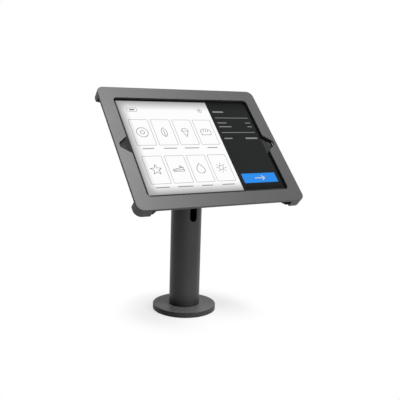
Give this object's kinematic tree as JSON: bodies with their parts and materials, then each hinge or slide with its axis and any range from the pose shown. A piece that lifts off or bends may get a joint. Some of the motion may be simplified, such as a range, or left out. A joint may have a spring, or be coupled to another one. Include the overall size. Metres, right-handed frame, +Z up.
{
  "type": "tablet kiosk stand",
  "caption": "Round pole stand with a disc base and a tilting, turning frame that holds a tablet behind a rounded window.",
  "frame": {"origin": "on the pole's axis, in the plane the base stands on", "axes": "+Z up along the pole, the screen faces -Y and leans back, +X to the right of a person who looks at the screen"},
  "size_m": [0.2738, 0.1713, 0.3467],
  "materials": {
    "grey_paint": "satin grey powder coat",
    "black_paint": "matt black powder coat",
    "pad_rubber": "matt black",
    "turned_steel": "turned",
    "dark_screws": "black oxide",
    "bearing_plastic": "natural white",
    "cover_glass": "glossy, black border",
    "display": "dark",
    "tablet_metal": "satin",
    "black_plastic": "black",
    "board": "green lacquer",
    "port_steel": "satin",
    "lens_glass": "black lens"
  },
  "bodies": {
    "base": {"base_pad": "pad_rubber", "base_plate": "grey_paint", "swivel_hub": "turned_steel", "hub_screws": "dark_screws", "foot_washer": "black_plastic", "spring_washer": "turned_steel", "retaining_nut": "turned_steel"},
    "pole": {"pole_tube": "grey_paint", "foot_plug": "turned_steel", "swivel_bush": "bearing_plastic", "stop_screw": "dark_screws", "foot_screws": "dark_screws", "clevis_block": "grey_paint", "head_screws": "dark_screws", "pivot_bolt": "turned_steel", "disc_springs": "turned_steel", "pivot_nut": "turned_steel", "friction_washers": "bearing_plastic"},
    "arm": {"tilt_arm": "grey_paint", "rotation_washer": "bearing_plastic", "retainer_washer": "bearing_plastic", "retainer_disc": "turned_steel", "rotation_screw": "dark_screws"},
    "screen": {"vesa_plate": "grey_paint", "rotation_stop_pin": "turned_steel", "vesa_screws": "dark_screws", "back_bracket": "black_paint", "bracket_screws": "dark_screws", "front_frame": "grey_paint", "corner_pads": "pad_rubber", "back_pads": "pad_rubber", "front_gasket": "pad_rubber", "cover_glass": "cover_glass", "display_module": "display", "tablet_shell": "tablet_metal", "battery": "black_plastic", "main_board": "board", "charging_port": "port_steel", "camera_lens": "lens_glass", "home_switch": "black_plastic", "side_switches": "black_plastic"},
    "home": {"home_button": "black_plastic"},
    "power": {"power_button": "tablet_metal"},
    "volume_up": {"volume_up_button": "tablet_metal"},
    "volume_down": {"volume_down_button": "tablet_metal"}
  },
  "joints": [
    {"name": "pole_swivel", "type": "hinge", "parent": "base", "child": "pole", "pos_m": [0, 0, 0], "axis": [0, 0, 1], "range_deg": [-160, 160]},
    {"name": "head_tilt", "type": "hinge", "parent": "pole", "child": "arm", "pos_m": [0, 0, 0.2254], "axis": [1, 0, 0], "range_deg": [-44.5, 44.5]},
    {"name": "screen_rotate", "type": "hinge", "parent": "arm", "child": "screen", "pos_m": [0, 0, 0.2254], "axis": [0, -0.7071, 0.7071], "range_deg": [0, 90]},
    {"name": "home_press", "type": "slide", "parent": "screen", "child": "home", "axis": [0, 0.7071, -0.7071], "range_m": [0, 0.0004], "stiffness_N_per_m": 800, "springref_m": -0.0005},
    {"name": "power_press", "type": "slide", "parent": "screen", "child": "power", "axis": [1, 0, 0], "range_m": [0, 0.0005], "stiffness_N_per_m": 800, "springref_m": -0.0005},
    {"name": "volume_up_press", "type": "slide", "parent": "screen", "child": "volume_up", "axis": [0, -0.7071, -0.7071], "range_m": [0, 0.0005], "stiffness_N_per_m": 800, "springref_m": -0.0005},
    {"name": "volume_down_press", "type": "slide", "parent": "screen", "child": "volume_down", "axis": [0, -0.7071, -0.7071], "range_m": [0, 0.0005], "stiffness_N_per_m": 800, "springref_m": -0.0005}
  ]
}
